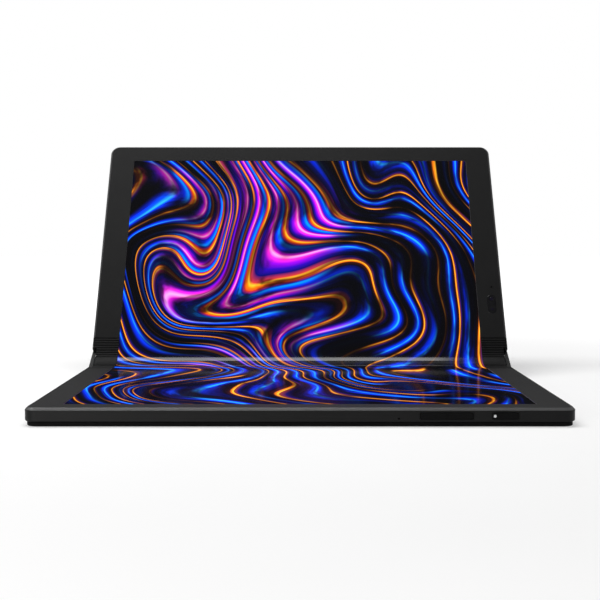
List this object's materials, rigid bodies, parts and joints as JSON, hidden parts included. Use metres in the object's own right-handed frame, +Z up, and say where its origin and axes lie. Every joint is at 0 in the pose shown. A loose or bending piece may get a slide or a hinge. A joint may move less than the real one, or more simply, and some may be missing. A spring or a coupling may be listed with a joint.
{
  "type": "foldable laptop",
  "caption": "Foldable-screen computer open as a laptop: bending display, geared fold hinge, ribbed rubber edge, sliding leather cover, stand, buttons and sockets.",
  "frame": {"origin": "centre of the base's underside, on the surface it lies on", "axes": "+X right along the fold, +Y from the front edge to the fold, +Z up; the lid leans back over +Y"},
  "size_m": [0.236, 0.2307, 0.1358],
  "materials": {
    "casing": "satin black",
    "bezel": "matt",
    "fold_rubber": "matt, ribbed",
    "screen": "semi-gloss film",
    "leather": "fine grain",
    "steel": "brushed",
    "screws": "blackened",
    "circuit_board": "solder mask",
    "chip": "moulded",
    "battery": "foil pouch",
    "fan_plastic": "moulded",
    "copper": "bare",
    "socket": "nickel",
    "button": "satin black",
    "light": "clear white",
    "lens": "gloss black",
    "ribbon": "polyimide"
  },
  "bodies": {
    "base": {"base_chassis": "casing", "base_bezel": "bezel", "display_base": "screen", "base_display_plate": "steel", "main_board": "circuit_board", "board_chips": "chip", "board_shield": "steel", "ssd_module": "circuit_board", "wireless_module": "chip", "io_board": "circuit_board", "base_battery": "battery", "fan_housing": "fan_plastic", "heat_pipe": "copper", "cooling_fins": "copper", "speaker": "chip", "usb_c_port_base": "socket", "sim_reader": "steel", "button_board": "circuit_board", "base_microphone": "chip", "base_cover": "leather", "kickstand_pins": "steel", "base_hinge_arms": "steel", "base_screws": "screws", "base_gear_shafts": "steel"},
    "spine": {"spine_plate": "steel", "spine_brackets": "steel", "spine_end_caps": "casing", "hinge_disc_springs": "steel", "display_fold": "screen", "bezel_fold_left": "fold_rubber", "bezel_fold_right": "fold_rubber", "leather_spine": "leather", "flex_cable": "ribbon"},
    "idler_left_base": {"idler_gear_left_base": "steel"},
    "idler_left_lid": {"idler_gear_left_lid": "steel"},
    "idler_right_base": {"idler_gear_right_base": "steel"},
    "idler_right_lid": {"idler_gear_right_lid": "steel"},
    "lid": {"lid_chassis": "casing", "lid_bezel": "bezel", "display_lid": "screen", "lid_display_plate": "steel", "lid_battery": "battery", "camera_window": "lens", "camera_module": "lens", "lid_microphone": "chip", "display_board": "circuit_board", "lid_antennas": "circuit_board", "usb_c_port_lid": "socket", "lid_hinge_arms": "steel", "lid_screws": "screws", "lid_cover_rails": "steel", "lid_gear_shafts": "steel"},
    "lid_cover": {"lid_cover": "leather"},
    "kickstand": {"kickstand": "leather"},
    "power_button": {"power_button": "button", "power_light": "light"},
    "volume_rocker": {"volume_rocker": "button"},
    "sim_tray": {"sim_tray": "button"},
    "fan_rotor": {"fan_rotor": "fan_plastic"}
  },
  "joints": [
    {"name": "base_hinge", "type": "hinge", "parent": "base", "child": "spine", "pos_m": [0, 0.07237, 0.0059], "axis": [1, 0, 0], "range_deg": [-29.65, 60.35], "deforming": ["display_fold", "bezel_fold_left", "bezel_fold_right", "leather_spine", "flex_cable"]},
    {"name": "lid_hinge", "type": "hinge", "parent": "spine", "child": "lid", "pos_m": [0, 0.08098, 0.0108], "axis": [1, 0, 0], "range_deg": [-29.65, 60.35], "deforming": ["display_fold", "bezel_fold_left", "bezel_fold_right", "leather_spine", "flex_cable"]},
    {"name": "idler_left_base_spin", "type": "hinge", "parent": "spine", "child": "idler_left_base", "pos_m": [-0.11653, 0.07566, 0.00619], "axis": [1, 0, 0], "range_deg": [-20.63, 41.88]},
    {"name": "idler_right_base_spin", "type": "hinge", "parent": "spine", "child": "idler_right_base", "pos_m": [0.11653, 0.07566, 0.00619], "axis": [1, 0, 0], "range_deg": [-20.63, 41.88]},
    {"name": "idler_left_lid_spin", "type": "hinge", "parent": "spine", "child": "idler_left_lid", "pos_m": [-0.11653, 0.07905, 0.00812], "axis": [1, 0, 0], "range_deg": [-41.88, 20.63]},
    {"name": "idler_right_lid_spin", "type": "hinge", "parent": "spine", "child": "idler_right_lid", "pos_m": [0.11653, 0.07905, 0.00812], "axis": [1, 0, 0], "range_deg": [-41.88, 20.63]},
    {"name": "cover_slide", "type": "slide", "parent": "lid", "child": "lid_cover", "axis": [0, -0.5105, -0.8599], "range_m": [-0.00498, 0.01013]},
    {"name": "kickstand_hinge", "type": "hinge", "parent": "base", "child": "kickstand", "pos_m": [-0.024, -0.008, 0.0008], "axis": [0, -1, 0], "range_deg": [0, 65]},
    {"name": "power_press", "type": "slide", "parent": "base", "child": "power_button", "axis": [0, 1, 0], "range_m": [0, 0.0003], "stiffness_N_per_m": 1500, "springref_m": -0.0003},
    {"name": "volume_tilt", "type": "hinge", "parent": "base", "child": "volume_rocker", "pos_m": [0.0624, -0.06957, 0.00468], "axis": [0, 0, 1], "range_deg": [-2, 2], "stiffness_Nm_per_rad": 0.3},
    {"name": "tray_slide", "type": "slide", "parent": "base", "child": "sim_tray", "axis": [-1, 0, 0], "range_m": [0, 0.0145]},
    {"name": "fan_spin", "type": "hinge", "parent": "base", "child": "fan_rotor", "pos_m": [0.079, 0.03737, 0.0046], "axis": [0, 0, 1], "continuous": true}
  ],
  "couplings": [
    {"joint": "lid_hinge", "follows": "base_hinge", "ratio": 1},
    {"joint": "cover_slide", "follows": "base_hinge", "m_per_rad": 0.0096},
    {"joint": "idler_left_base_spin", "follows": "base_hinge", "ratio": 0.69231},
    {"joint": "idler_left_lid_spin", "follows": "base_hinge", "ratio": -0.69231},
    {"joint": "idler_right_base_spin", "follows": "base_hinge", "ratio": 0.69231},
    {"joint": "idler_right_lid_spin", "follows": "base_hinge", "ratio": -0.69231}
  ]
}
